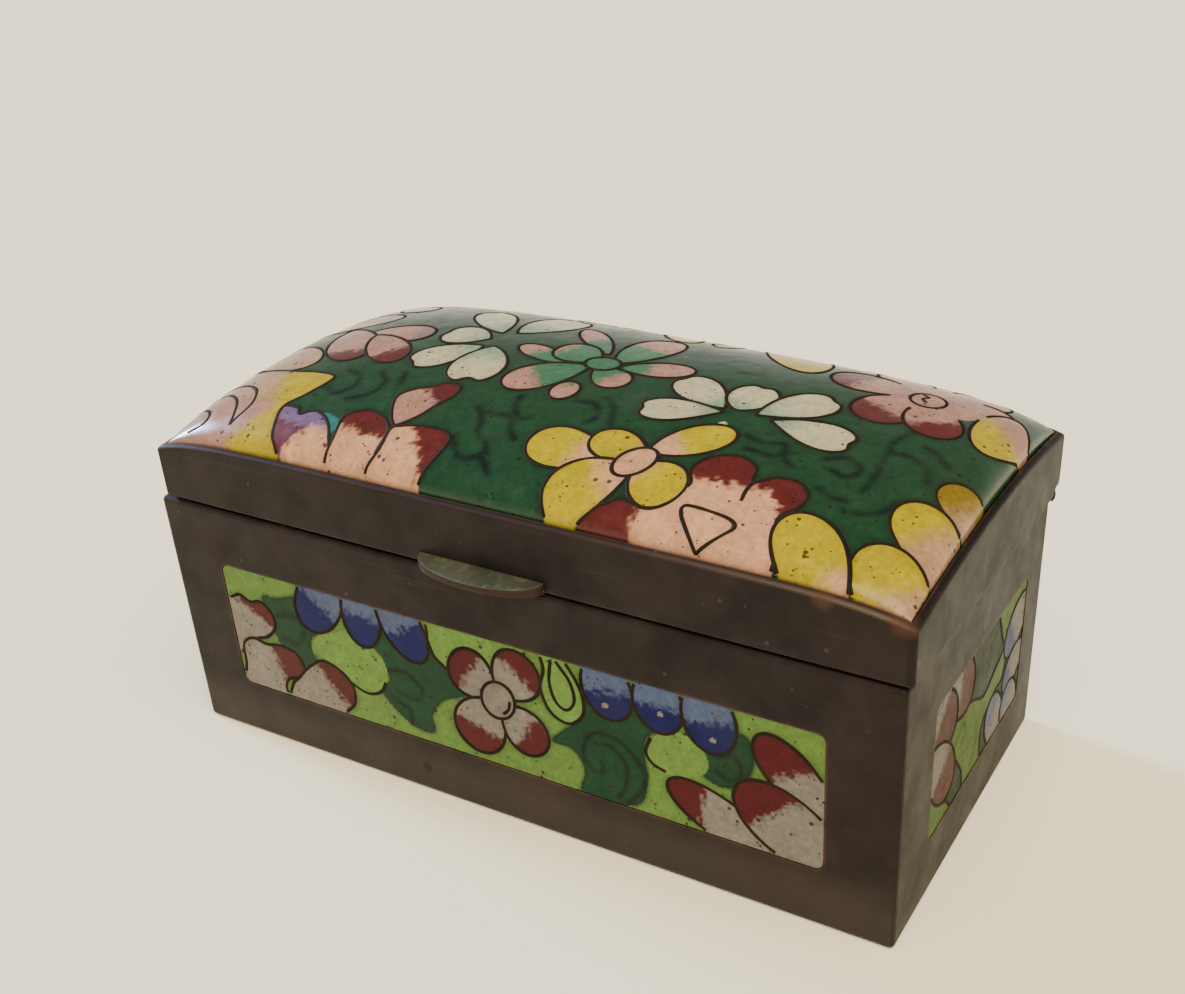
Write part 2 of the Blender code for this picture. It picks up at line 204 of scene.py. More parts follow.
class Design:
    """Cells of colour between wires on one enamelled face. Later cells lie over earlier ones."""

    def __init__(self, ground, vein):
        self.ground = ground
        self.vein_colour = vein
        self.cells = []
        self.strokes = []
        self.veins = []

    def cell(self, outline, colour, *washes, wire=True):
        """A wash is a colour, a point where it starts, the way it goes, and how softly it starts."""
        self.cells.append((outline, colour, washes, wire))

    def stroke(self, *points):
        """An open wire through a few points, over the cells so far."""
        self.strokes.append((smooth_path(points, False), len(self.cells)))

    def vein(self, path, width=0.5, depth=0.6):
        """A wire that the enamel has covered, so that it shows only as a soft dark line."""
        self.veins.append((path, len(self.cells), width, depth))

    def petal(self, base, tip, width, inner, outer, at=0.5, soft=1.0, lean=(0, 0), **form):
        base, tip = np.array(base, float), np.array(tip, float)
        way = (tip - base) / np.hypot(*(tip - base)) + np.array(lean)
        self.cell(petal(base, tip, width, **form), inner, (outer, base + (tip - base) * at, way, soft))

    def colours(self, points):
        shade = np.tile(np.array(self.ground, float), (len(points), 1))
        owner = np.zeros(len(points), int)
        ragged = (grain(points, 0.55, 1) - 0.5) + 0.8 * (grain(points, 0.28, 2) - 0.5)
        for number, (outline, colour, washes, _) in enumerate(self.cells, 1):
            chosen = within(points, outline)
            if not chosen.any():
                continue
            p = points[chosen]
            own = np.tile(np.array(colour, float), (len(p), 1))
            for wash, start, way, soft in washes:
                way = np.array(way, float) / np.hypot(*way)
                depth = (p - start) @ way + ragged[chosen] * 1.1
                mix = np.clip(depth / soft + 0.5, 0, 1)[:, None]
                own = own * (1 - mix) + np.array(wash) * mix
            shade[chosen] = own
            owner[chosen] = number
        on_ground = owner == 0
        # Painted shade: the enamel darkened in a soft band beside each wire, more on the ground than inside
        # the cells
        for outline, _, _, wire in self.cells:
            if wire:
                gap = distance_to(points, outline, 1.4)
                dark = np.exp(-((gap / 0.62) ** 2)) * np.where(on_ground, 0.34, 0.10)
                shade *= 1 - dark[:, None]
        patchy = 0.55 + 0.6 * grain(points, 1.3, 8)
        for path, order, width, depth in self.veins:
            gap = distance_to(points, path, 2 * width)
            dark = depth * np.exp(-((gap / width) ** 2)) * (owner <= order) * patchy
            shade += (np.array(self.vein_colour) - shade) * np.clip(dark, 0, 1)[:, None]
        cloudy = 0.82 + 0.3 * grain(points, 3.4, 3) * grain(points, 1.2, 4) + 0.16 * grain(points, 0.5, 5)
        cloudy = np.where(on_ground, 0.35 + 0.72 * cloudy, 0.1 + 0.95 * cloudy)
        return np.clip(shade * cloudy[:, None], 0, 1)

    def wires(self, keep):
        """The visible runs of wire: arrays of plan positions, each with whether it closes on itself."""
        jobs = [(outline, k + 1, True) for k, (outline, _, _, wire) in enumerate(self.cells) if wire]
        jobs += [(path, order, False) for path, order in self.strokes]
        for path, order, closed in jobs:
            ring = np.vstack([path, path[:1]]) if closed else path
            lengths = np.hypot(*np.diff(ring, axis=0).T)
            reach = np.concatenate([[0], np.cumsum(lengths)])
            count = max(4, int(reach[-1] / WIRE_STEP))
            where = np.linspace(0, reach[-1], count + 1)
            line = np.stack([np.interp(where, reach, ring[:, k]) for k in (0, 1)], 1)
            shown = keep(line)
            for outline, *_ in self.cells[order:]:
                shown &= ~within(line, outline)
            if closed and shown.all():
                yield line[:-1], True
                continue
            if closed:
                first = int(np.argmin(shown))
                line, shown = np.roll(line[:-1], -first, 0), np.roll(shown[:-1], -first)
            edges = np.flatnonzero(np.diff(np.concatenate([[0], shown.astype(int), [0]])))
            for start, end in zip(edges[::2], edges[1::2]):
                if end - start > 3:
                    yield line[start:end], False


# The faces that carry enamel. Each gives points and outward directions for plan positions.


def lid_height(x, y):
    across = np.minimum(abs(x - LID_X) / LID_HALF_X, 1)
    depth = np.clip((y - LID_Y) / LID_HALF_Y, -1, 1)
    long_arch = LONG_RIM_ARCH * (1 - across**CORNER_FALL)
    end_arch = END_RIM_ARCH * (1 - depth**2) * across**CORNER_FALL
    rim = LID_BOTTOM + LID_BAND + BACK_RISE * (depth + 1) / 2 + long_arch + end_arch
    u = np.clip((x - LID_X) / ENAMEL_HALF_X, -1, 1)
    v = np.clip((y - LID_Y) / ENAMEL_HALF_Y, -1, 1)
    cushion = (1 - abs(u) ** DOME_SQUARENESS) ** DOME_FULLNESS_ALONG * (1 - v * v) ** DOME_FULLNESS_ACROSS
    lean = (1 - DOME_LEAN_LEFT * u) * (1 + DOME_LEAN_BACK * v)
    return rim + DOME_HEIGHT * cushion * lean


class LidFace:
    pitch = LID_PITCH
    wire_room = 0.06
    middle = (LID_X, LID_Y)
    half = (ENAMEL_HALF_X, ENAMEL_HALF_Y)
    corner = 0.0

    def place(self, p):
        x, y = p.T
        near = 0.02
        slope_x = (lid_height(x + near, y) - lid_height(x - near, y)) / (2 * near)
        slope_y = (lid_height(x, y + near) - lid_height(x, y - near)) / (2 * near)
        out = np.stack([-slope_x, -slope_y, np.ones_like(x)], 1)
        out /= np.linalg.norm(out, axis=1)[:, None]
        return np.stack([x, y, lid_height(x, y)], 1), out

    def under(self, points):
        """Where the plate's underside lies below points of its top."""
        return points - np.array([0, 0, PLATE_THICKNESS - ENAMEL_SUNK])


class SideFace:
    pitch = PANEL_PITCH
    wire_room = 0.23

    def __init__(self, turn, distance, width, shift):
        a = math.radians(turn)
        self.right = np.array([math.cos(a), math.sin(a), 0])
        self.out = np.array([math.sin(a), -math.cos(a), 0])
        self.distance = distance
        self.middle = (shift, (PANEL_LOW + PANEL_HIGH) / 2)
        self.half = (width / 2, (PANEL_HIGH - PANEL_LOW) / 2)
        self.corner = PANEL_CORNER

    def place(self, p):
        flat = np.outer(p[:, 0], self.right) + np.outer(p[:, 1], [0, 0, 1]) + self.out * self.distance
        return flat, np.tile(self.out, (len(p), 1))

    def under(self, points):
        return points - self.out * (PLATE_THICKNESS - ENAMEL_SUNK)


def spread(half, pitch):
    """Places of the mesh's lines: even, and closer together near both ends."""
    border, steps = 1.3, 9
    inner = half - border
    even = np.linspace(-inner, inner, int(2 * inner / pitch) + 1)
    close = inner + border * (1 - (1 - np.arange(1, steps + 1) / steps) ** 2)
    return np.concatenate([-close[::-1], even, close])


def round_corners(p, half, radius):
    """Draws the corners of a square grid onto round ones."""
    if radius == 0:
        return p
    q = p.copy()
    start = np.array(half) - radius
    beyond = (np.abs(p) - start) / radius
    corner = (beyond > 0).all(1)
    a, b = beyond[corner].T
    folded = np.stack([a * np.sqrt(1 - b * b / 2), b * np.sqrt(1 - a * a / 2)], 1)
    q[corner] = np.sign(p[corner]) * (start + radius * folded)
    return q


def new_mesh(name, verts, faces, body, material):
    mesh = bpy.data.meshes.new(name)
    mesh.from_pydata((np.asarray(verts) * MM).tolist(), [], faces)
    mesh.validate()
    mesh.shade_smooth()
    mesh.materials.append(material)
    obj = bpy.data.objects.new(name, mesh)
    bpy.context.scene.collection.objects.link(obj)
    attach(obj, body)
    return obj


def enamel_plate(name, face, design, body, material, node):
    """A closed plate of enamel with the design's colours on its surface."""
    us, vs = (spread(half, face.pitch) for half in face.half)
    nu, nv = len(us), len(vs)
    grid = np.stack([g.ravel() for g in np.meshgrid(us, vs)], 1)
    plan = round_corners(grid, face.half, face.corner) + np.array(face.middle)
    points, out = face.place(plan)
    swell = 0.045 * (grain(plan, 3.1, 6) - 0.5) + 0.02 * (grain(plan, 1.1, 7) - 0.5)
    edge = np.minimum(*(np.array(face.half) - np.abs(grid)).T)
    swell *= np.clip(edge / 1.5, 0, 1)
    top = points - out * (ENAMEL_SUNK - swell)[:, None]
    below = face.under(points - out * ENAMEL_SUNK)

    def at(i, j):
        return j * nu + i

    starts = [(i, j) for j in range(nv - 1) for i in range(nu - 1)]
    faces = [(at(i, j), at(i + 1, j), at(i + 1, j + 1), at(i, j + 1)) for i, j in starts]
    coarse_u = sorted(set(range(0, nu, UNDERSIDE_STEP)) | {nu - 1})
    coarse_v = sorted(set(range(0, nv, UNDERSIDE_STEP)) | {nv - 1})
    lower = {}
    verts = list(top)

    def low(i, j):
        if (i, j) not in lower:
            lower[i, j] = len(verts)
            verts.append(below[at(i, j)])
        return lower[i, j]

    rim = [(i, 0) for i in range(nu - 1)] + [(nu - 1, j) for j in range(nv - 1)]
    rim += [(i, nv - 1) for i in range(nu - 1, 0, -1)] + [(0, j) for j in range(nv - 1, 0, -1)]
    for (i, j), (k, m) in zip(rim, rim[1:] + rim[:1]):
        faces.append((at(k, m), at(i, j), low(i, j), low(k, m)))
    for u1, u2 in zip(coarse_u, coarse_u[1:]):
        for v1, v2 in zip(coarse_v, coarse_v[1:]):
            bottom = range(u1, u2) if v1 == 0 else [u1]
            right = range(v1, v2) if u2 == nu - 1 else [v1]
            upper = range(u2, u1, -1) if v2 == nv - 1 else [u2]
            left = range(v2, v1, -1) if u1 == 0 else [v2]
            loop = [low(i, v1) for i in bottom] + [low(u2, j) for j in right]
            loop += [low(i, v2) for i in upper] + [low(u1, j) for j in left]
            faces.append(tuple(reversed(loop)))
    obj = new_mesh(name, verts, faces, body, material)
    shades = np.ones((len(verts), 4))
    shades[:, :3] = design.ground
    shades[: nu * nv, :3] = design.colours(plan)
    layer = obj.data.color_attributes.new("Enamel", "FLOAT_COLOR", "POINT")
    layer.data.foreach_set("color", shades.ravel())
    obj.data.color_attributes.active_color = layer
    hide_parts(node)
    return obj


def wire_work(name, face, design, body, material):
    """All of a design's wires as thin rounded strips bedded in the enamel."""
    room = np.array(face.half) - face.wire_room
    middle = np.array(face.middle)

    def keep(p):
        return (np.abs(p - middle) < room).all(1)

    verts, faces = [], []
    section = ((-0.5, -0.14), (-0.42, 0.72), (0.0, 1.0), (0.42, 0.72), (0.5, -0.14))
    for plan, closed in design.wires(keep):
        points, out = face.place(plan)
        if closed:
            along = np.roll(points, -1, 0) - np.roll(points, 1, 0)
        else:
            along = np.gradient(points, axis=0)
        along /= np.linalg.norm(along, axis=1)[:, None]
        side = np.cross(out, along)
        reach = np.hypot(*np.diff(plan, axis=0, append=plan[:1]).T).cumsum()
        seed = len(verts) % 97
        width = WIRE_WIDTH * (0.86 + 0.3 * grain(np.stack([reach, reach * 0], 1), 1.7, seed))
        base = len(verts)
        for step in range(len(plan)):
            for across, lift in section:
                height = -ENAMEL_SUNK + WIRE_PROUD * lift
                verts.append(points[step] + side[step] * across * width[step] + out[step] * height)
        count = len(plan)
        n = len(section)
        for step in range(count if closed else count - 1):
            one, two = base + step * n, base + (step + 1) % count * n
            for k in range(n - 1):
                faces.append((one + k, one + k + 1, two + k + 1, two + k)[::-1])
            faces.append((one + n - 1, one, two, two + n - 1)[::-1])
        if not closed:
            faces.append(tuple(base + k for k in range(n)))
            faces.append(tuple(base + (count - 1) * n + k for k in reversed(range(n))))
    return new_mesh(name, verts, faces, body, material)


def pin_end(material):
    """The head of the hinge's pin, which shows beside the tray's right back corner."""
    count = 16
    turn = np.linspace(0, 2 * math.pi, count, endpoint=False)
    end = TRAY_LENGTH / 2
    profile = ((end - 0.4, 1.0), (end + PIN_HEAD_PROUD - 0.15, 1.0), (end + PIN_HEAD_PROUD, 0.6))
    verts = []
    for x, share in profile:
        radius = share * PIN_HEAD_RADIUS
        for a in turn:
            verts.append((x, HINGE_Y + radius * math.cos(a), HINGE_Z + radius * math.sin(a)))
    faces = [tuple(reversed(range(count))), tuple(range(2 * count, 3 * count))]
    for low in (0, count):
        for k in range(count):
            after = (k + 1) % count
            faces.append((low + k, low + after, low + count + after, low + count + k))
    return new_mesh("hinge_pin_end_right", verts, faces, "box", material)


# Materials


class Nodes:
    """A short way to build a material's nodes."""

    def __init__(self, name):
        self.material = bpy.data.materials.new(name)
        self.material.use_nodes = True
        self.tree = self.material.node_tree
        self.shader = self.tree.nodes["Principled BSDF"]

    def add(self, kind, inputs=None, **settings):
        node = self.tree.nodes.new(kind)
        for key, value in settings.items():
            setattr(node, key, value)
        for key, value in (inputs or {}).items():
            self.feed(node.inputs[key], value)
        return node

    def feed(self, socket, value):
        if isinstance(value, bpy.types.NodeSocket):
            self.tree.links.new(value, socket)
        elif isinstance(value, bpy.types.Node):
            self.tree.links.new(value.outputs[0], socket)
        else:
            if socket.type == "RGBA" and len(value) == 3:
                value = (*value, 1)
            socket.default_value = value

    def place(self):
        return self.add("ShaderNodeTexCoord").outputs["Object"]

    def noise(self, scale, detail=3.0, rough=0.55, stretch=None):
        where = self.place()
        if stretch:
            where = self.add("ShaderNodeMapping", {"Vector": where, "Scale": stretch})
        return self.add(
            "ShaderNodeTexNoise", {"Vector": where, "Scale": scale, "Detail": detail, "Roughness": rough}
        )

    def ramp(self, value, low, high, start=0.0, end=1.0):
        node = self.add("ShaderNodeMapRange", {"Value": value, "From Min": low, "From Max": high})
        node.inputs["To Min"].default_value = start
        node.inputs["To Max"].default_value = end
        return node

    def mix(self, factor, one, two, how="MIX"):
        node = self.add("ShaderNodeMix", data_type="RGBA", blend_type=how)
        self.feed(node.inputs["Factor"], factor)
        self.feed(node.inputs[6], one)
        self.feed(node.inputs[7], two)
        return node.outputs[2]

    def math(self, how, one, two=0.0):
        node = self.add("ShaderNodeMath", operation=how)
        self.feed(node.inputs[0], one)
        self.feed(node.inputs[1], two)
        return node.outputs[0]

    def times(self, one, two):
        return self.math("MULTIPLY", one, two)

    def facing_up(self):
        normal = self.add("ShaderNodeNewGeometry").outputs["Normal"]
        return self.add("ShaderNodeSeparateXYZ", {0: normal}).outputs["Z"]

    def bump(self, height, distance, strength=1.0, under=None):
        node = self.add("ShaderNodeBump", {"Height": height, "Distance": distance, "Strength": strength})
        if under:
            self.feed(node.inputs["Normal"], under)
        return node.outputs[0]


def worn_edge(n, radius):
    """High on edges and corners that hands have rubbed."""
    soft = n.add("ShaderNodeBevel", samples=6)
    soft.inputs["Radius"].default_value = radius
    flat = n.add("ShaderNodeNewGeometry").outputs["Normal"]
    dot = n.add("ShaderNodeVectorMath", {0: soft.outputs[0], 1: flat}, operation="DOT_PRODUCT")
    return n.ramp(dot.outputs["Value"], 0.97, 0.8)


def near_spot(n, spot, radius):
    """High inside a ragged spot at a place given in millimetres."""
    wander = n.mix(0.0016, n.place(), n.noise(500, 2).outputs["Color"], "ADD")
    centre = tuple(MM * c + 0.0008 for c in spot)
    gap = n.add("ShaderNodeVectorMath", {0: wander, 1: centre}, operation="DISTANCE")
    return n.ramp(gap.outputs["Value"], radius * MM, 0.55 * radius * MM)


class Patina:
    """Colours and gloss of one old, darkened metal."""

    def __init__(self, name, dark, brown, worn, rough, edge_radius=0.0006, specks=0.35):
        n = self.nodes = Nodes(name)
        clouds = n.ramp(n.noise(120, 5, 0.62), 0.34, 0.7)
        base = n.mix(clouds, dark, brown)
        stains = n.ramp(n.noise(38, 3, 0.5), 0.56, 0.8, 0.0, 0.16)
        self.base = n.mix(stains, base, worn)
        self.worn = worn
        self.edge = n.times(worn_edge(n, edge_radius), n.ramp(n.noise(240, 4, 0.7), 0.32, 0.62))
        self.specks = specks
        self.brown = brown
        self.rough = rough

    def scratches(self, amount):
        n = self.nodes
        streaks = n.ramp(n.noise(900, 2, 0.5, (0.05, 1, 1.0)), 0.69, 0.74, 0.0, amount)
        self.base = n.mix(streaks, self.base, tuple(1.5 * c for c in self.brown))

    def finish(self, metallic=0.55, specular=0.35):
        n = self.nodes
        base = n.mix(self.edge, self.base, self.worn)
        if self.specks:
            flecks = n.add("ShaderNodeTexVoronoi", {"Vector": n.place(), "Scale": 520.0})
            fleck = n.math("LESS_THAN", flecks.outputs["Distance"], 0.13)
            few = n.math("GREATER_THAN", n.noise(330, 1, 0.5), 0.61)
            amount = n.times(n.times(fleck, few), self.specks)
            base = n.mix(amount, base, tuple(min(1, 3.0 * c + 0.02) for c in self.brown))
        n.feed(n.shader.inputs["Base Color"], base)
        patchy = n.ramp(n.noise(210, 4, 0.65), 0.3, 0.7, self.rough - 0.06, self.rough + 0.1)
        patchy = n.math("SUBTRACT", patchy.outputs[0], n.times(self.edge, 0.12))
        n.feed(n.shader.inputs["Roughness"], patchy)
        n.shader.inputs["Metallic"].default_value = metallic
        n.shader.inputs["Specular IOR Level"].default_value = specular
        fine = n.bump(n.noise(700, 4, 0.6), 0.00003, 0.35)
        n.feed(n.shader.inputs["Normal"], n.bump(n.noise(60, 2, 0.5), 0.0003, 0.15, fine))
        return n.material


def patinated_copper():
    """The box's own copper: dark outside, plain and dull inside, and along the rim's right part a lighter
    brown that is partly wear and partly a painted highlight.
    """
    p = Patina("patinated copper", tone(26, 21, 22), tone(42, 35, 34), tone(88, 56, 43), 0.5)
    n = p.nodes
    axes = n.add("ShaderNodeSeparateXYZ", {0: n.place()})
    x, y, z = (axes.outputs[k] for k in ("X", "Y", "Z"))
    front = n.ramp(y, -0.0236, -0.0244)
    # The top of the front rim, browner and lighter towards the right: partly worn copper, partly a painted
    # highlight
    rim = n.times(n.ramp(z, 0.0392, 0.0404), n.ramp(x, 0.0, 0.045, 0.35, 0.85))
    rim = n.times(rim, n.times(front, n.ramp(n.facing_up(), 0.05, 0.5)))
    p.base = n.mix(rim, p.base, n.mix(n.ramp(x, 0.01, 0.045), tone(62, 40, 34), tone(112, 96, 74)))
    # Painted light: the lowest part of the front made lighter, as the bright floor below would light it
    low = n.times(front, n.ramp(z, 0.0085, 0.004, 0.0, 0.6))
    p.base = n.mix(low, p.base, tone(66, 59, 54))
    # Painted shade: the right end darkened almost to black
    p.base = n.mix(n.ramp(x, 0.0495, 0.0499, 0.0, 0.65), p.base, tone(20, 21, 20))
    p.scratches(0.35)
    for *spot, radius in (
        (50, -19.6, 3.4, 1.2), (50, -17, 4.8, 1.5), (50, -20.6, 2.4, 0.7), (-12, -24.3, 3.4, 0.9)
    ):
        p.base = n.mix(n.times(near_spot(n, spot, radius), 0.7), p.base, tone(22, 18, 14))
    for *spot, radius in ((49.4, -24.2, 40.6, 2.2), (41, -24.4, 41, 1.5), (50.2, -23.4, 36, 0.8)):
        p.base = n.mix(n.times(near_spot(n, spot, radius), 0.45), p.base, tone(88, 55, 40))
    # The hollow of the tray and of the lid
    inside_x, inside_y, lid_wider, floor_z, seam_z = 0.0482, 0.0234, 0.0009, 0.001, 0.0332
    above_floor = n.math("GREATER_THAN", z, floor_z)
    inside = n.times(n.math("LESS_THAN", n.math("ABSOLUTE", x), inside_x), above_floor)
    on_lid = n.math("GREATER_THAN", z, seam_z)
    middle = n.times(on_lid, LID_Y * MM)
    reach = n.math("ADD", inside_y, n.times(on_lid, lid_wider))
    off_middle = n.math("ABSOLUTE", n.math("SUBTRACT", y, middle))
    inside = n.times(inside, n.math("LESS_THAN", off_middle, reach))
    dull = n.mix(n.ramp(n.noise(70, 4), 0.3, 0.7), tone(92, 66, 50), tone(70, 54, 44))
    p.base = n.mix(inside, p.base, dull)
    return p.finish(metallic=0.25, specular=0.13)


def olive_brass():
    """The tab's brass: olive and dusty on top; the faces that do not face up are a dark copper red, partly
    wear and partly painted shade.
    """
    p = Patina("olive brass", tone(50, 52, 38), tone(76, 76, 56), tone(66, 44, 36), 0.6, edge_radius=0.0002)
    n = p.nodes
    p.base = n.mix(n.ramp(n.noise(700, 3, 0.6), 0.5, 0.66, 0.0, 0.55), p.base, tone(88, 96, 78))
    # Painted shade and wear: faces that do not face upwards go a dark copper red
    p.base = n.mix(n.ramp(n.facing_up(), 0.75, 0.45), p.base, tone(46, 30, 27))
    return p.finish(metallic=0.4, specular=0.3)


def enamel(name, specular, dust=0.0):
    """Glossy, slightly uneven enamel in the mesh's own colours, with pinholes and specks."""
    n = Nodes(name)
    colour = n.add("ShaderNodeVertexColor", layer_name="Enamel").outputs["Color"]
    grit = n.ramp(n.noise(1500, 3, 0.6), 0.36, 0.66, 0.68, 0.88)
    colour = n.mix(1.0, colour, grit.outputs[0], "MULTIPLY")
    haze = n.ramp(n.noise(120, 4, 0.6), 0.5, 0.75, dust, dust + 0.12)
    colour = n.mix(haze, colour, tone(70, 72, 56))
    for scale, smallest, largest, depth in ((700.0, 0.47, 0.66, 0.22), (1400.0, 0.45, 0.66, 0.26)):
        pits = n.add("ShaderNodeTexVoronoi", {"Vector": n.place(), "Scale": scale})
        size = n.ramp(n.noise(scale * 0.55, 1, 0.5), smallest, largest, 0.0, depth)
        pit = n.ramp(n.math("SUBTRACT", size.outputs[0], pits.outputs["Distance"]), 0.0, 0.05).outputs[0]
        colour = n.mix(n.times(pit, 0.85), colour, tone(22, 20, 15))
    n.feed(n.shader.inputs["Base Color"], colour)
    gloss = n.ramp(n.noise(300, 3, 0.6), 0.3, 0.7, 0.16 + 0.6 * dust, 0.3 + 0.6 * dust)
    n.feed(n.shader.inputs["Roughness"], gloss)
    n.feed(n.shader.inputs["Normal"], n.bump(n.noise(230, 3, 0.55), 0.00006, 0.35))
    n.shader.inputs["Specular IOR Level"].default_value = specular
    return n.material


def plain(name, colour, roughness):
    n = Nodes(name)
    mottled = n.mix(n.ramp(n.noise(6, 3, 0.5), 0.3, 0.7), colour, tuple(0.98 * c for c in colour))
    n.feed(n.shader.inputs["Base Color"], mottled)
    n.shader.inputs["Roughness"].default_value = roughness
    n.shader.inputs["Specular IOR Level"].default_value = 0.1
    return n.material


# The designs


def curl(d, points, width=0.36, depth=0.85):
    """A covered wire that curls inside a dark leaf or in the ground."""
    d.vein(smooth_path(points, False, 14), width, depth)


def lid_design():
    d = Design(EMERALD, VEIN)
    veins_of_lid(d)
    back_of_lid(d)

    # White flower at the back left
    for base, tip, width, notch in (
        ((-17.2, 5.6), (-25.6, 14.6), 5.6, 0.5),
        ((-15.4, 6.4), (-12.0, 17.0), 7.0, 0.6),
        ((-17.3, 3.2), (-24.4, 3.4), 6.2, 0.4),
        ((-16.6, 0.8), (-22.8, -6.2), 5.9, 0.5),
        ((-15.2, 1.2), (-12.6, -8.3), 7.2, 1.1),
    ):
        d.petal(base, tip, width, PALE_GREEN, CREAM, at=0.36, soft=3.4, notch=notch, point=0.3)

    # Mint flower with pink tips
    for base, tip, width, at in (
        ((-0.6, 4.6), (-8.8, 12.4), 3.6, 0.55),
        ((1.6, 2.6), (4.0, 14.0), 6.4, 0.56),
        ((-3.4, 0.2), (-12.3, 2.9), 3.6, 0.62),
        ((-0.6, 2.2), (-7.4, 4.6), 5.8, 0.84),
        ((2.6, 1.6), (11.6, 4.3), 4.4, 0.42),
        ((-0.8, 0.6), (-8.2, -7.2), 6.3, 0.62),
        ((0.2, 0.4), (5.8, -2.6), 4.7, 0.56),
    ):
        d.petal(base, tip, width, MINT, ROSE, at=at, soft=1.3, point=0.25)
    d.cell(oval((0.25, 1.85), 2.3, 1.9), MINT)
    d.cell(oval((-0.1, -5.9), 1.75, 2.1), ROSE, (MINT, (-0.4, -4.5), (0, 1), 0.7))

    # White flower with notched petals
    for base, tip, width, notch, form in (
        ((19.2, -2.9), (11.1, 2.3), 5.6, 0.4, 0.42),
        ((19.5, -3.6), (10.0, -6.4), 4.9, 0.6, 0.5),
        ((20.6, -2.6), (20.8, 4.4), 5.9, 0.5, 0.12),
        ((25.0, -3.0), (35.3, -3.6), 5.7, 0.7, 0.5),
        ((23.0, -2.6), (29.6, 5.2), 6.1, 0.5, 0.4),
    ):
        d.petal(base, tip, width, PALE_GREEN, CREAM, at=0.26, soft=2.8, notch=notch, point=form)
    d.cell(oval((20.6, -6.1), 0.55, 0.55, steps=14), CREAM, wire=False)

    # Bud and three petals at the front left
    d.cell(
        blob(
            (-16.1, -17.5), (-17.8, -15.6), (-18.9, -13.2), (-18, -11.5), (-16, -10.3), (-14.4, -9),
            (-12.6, -9.2), (-12, -11), (-13, -13.4), (-13.7, -15.4), (-15.1, -17.2)
        ),
        ROSE,
        (RED, (-14.9, -12.1), (0.62, 0.78), 0.7),
    )
    d.cell(
        blob((-26.2, -17.9), (-24.2, -18.1), (-22.8, -19.2), (-23.6, -20.6), (-25.4, -20)), TURQUOISE,
        wire=False
    )
    d.cell(
        blob(
            (-32.8, -17.9), (-30.6, -17.6), (-29.5, -18.5), (-27.8, -17.7), (-25.6, -18.4), (-23.4, -20.4),
            (-21.6, -24), (-29.6, -24), (-31.4, -21.4)
        ),
        BLUSH,
        (PLUM, (-27.6, -21.2), (-1.0, 0.75), 0.6),
        (LILAC, (-28, -20.0), (0, 1), 0.6),
    )
    d.cell(
        blob(
            (-23.2, -18), (-22.4, -16.9), (-20.2, -16.2), (-17.6, -17), (-16, -18.6), (-15.7, -21),
            (-15.9, -24.2), (-21.4, -24.2), (-22.5, -20.4)
        ),
        BLUSH,
        (RED, (-19.5, -19.5), (0.06, 1), 0.7),
    )
    d.cell(
        blob(
            (-15.9, -18.2), (-14.8, -17.5), (-12, -16.9), (-8.6, -17.1), (-7.5, -18.6), (-8.2, -21.8),
            (-9.6, -24.2), (-15.8, -24.2), (-15.5, -21)
        ),
        BLUSH,
        (RED, (-11.4, -19.5), (0.75, 0.66), 0.7),
    )

    # Yellow flower
    d.petal((13.2, -16.2), (1.5, -15.2), 6.3, BLUSH, YELLOW, at=0.46, soft=2.2, point=0.5)
    d.petal((15.6, -14.2), (8.3, -12.9), 5.0, BLUSH, YELLOW, at=0.22, soft=1.8, point=0.2)
    d.petal((15.6, -13.4), (22.9, -6.9), 5.4, BLUSH, YELLOW, at=0.36, soft=1.4, point=0.2)
    red_flower(d)
    d.petal((15.8, -15.9), (21.9, -18.9), 6.4, BLUSH, YELLOW, at=0.16, soft=1.8, point=0.1)
    d.petal((15.2, -16.2), (7.7, -22.6), 7.1, BLUSH, YELLOW, at=0.36, soft=2.4, point=0.22)
    d.cell(oval((15.0, -15.35), 2.6, 1.95, 55), BLUSH)

    # Yellow petals with pink feet at the front right
    d.petal((52.8, -9.0), (46.1, -3.5), 6.4, SHELL, OCHRE, at=0.56, soft=2.4, point=0.2)
    d.petal((52.2, -18.0), (44.0, -9.4), 7.6, SHELL, YELLOW, at=0.60, soft=2.4, lean=(-0.6, 0), point=0.2)
    d.petal((51.4, -25.0), (42.8, -17.7), 7.6, SHELL, YELLOW, at=0.46, soft=2.2, point=0.2)
    d.petal((43.2, -25.4), (34.0, -17.2), 6.9, BLUSH, YELLOW, at=0.3, soft=1.8, point=0.25)

    right_flower(d)
    left_flowers(d)
    return d


def red_flower(d):
    d.cell(
        blob(
            (13.4, -24.4), (15.6, -20.6), (18.4, -20.4), (20.6, -19), (22.4, -16.8), (21.4, -14.6),
            (22.4, -12.2), (25.2, -10.9), (27.7, -11.9), (28.5, -14.2), (30.4, -12.7), (32.8, -12.4),
            (34.6, -14), (34.4, -16.2), (33.2, -18.2), (33.6, -24.4)
        ),
        BLUSH,
        (RED, (18.6, -22), (-1, 0), 0.7),
        (RED, (25, -15.5), (-0.1, 1), 0.8),
        (BLUSH, (30.9, -15.2), (0.62, -0.78), 0.5),
        (RED, (31.4, -15.6), (0.75, 0.66), 0.5),
    )
    d.stroke((28.5, -14.2), (28.4, -15.6), (28.6, -17.2))
    d.cell(
        blob(
            (23.2, -19.6), (24.4, -19.3), (28.2, -19.6), (29.5, -20.3), (29, -21.2), (27, -22.95),
            (26.1, -22.95), (23.7, -20.8)
        ),
        BLUSH
    )


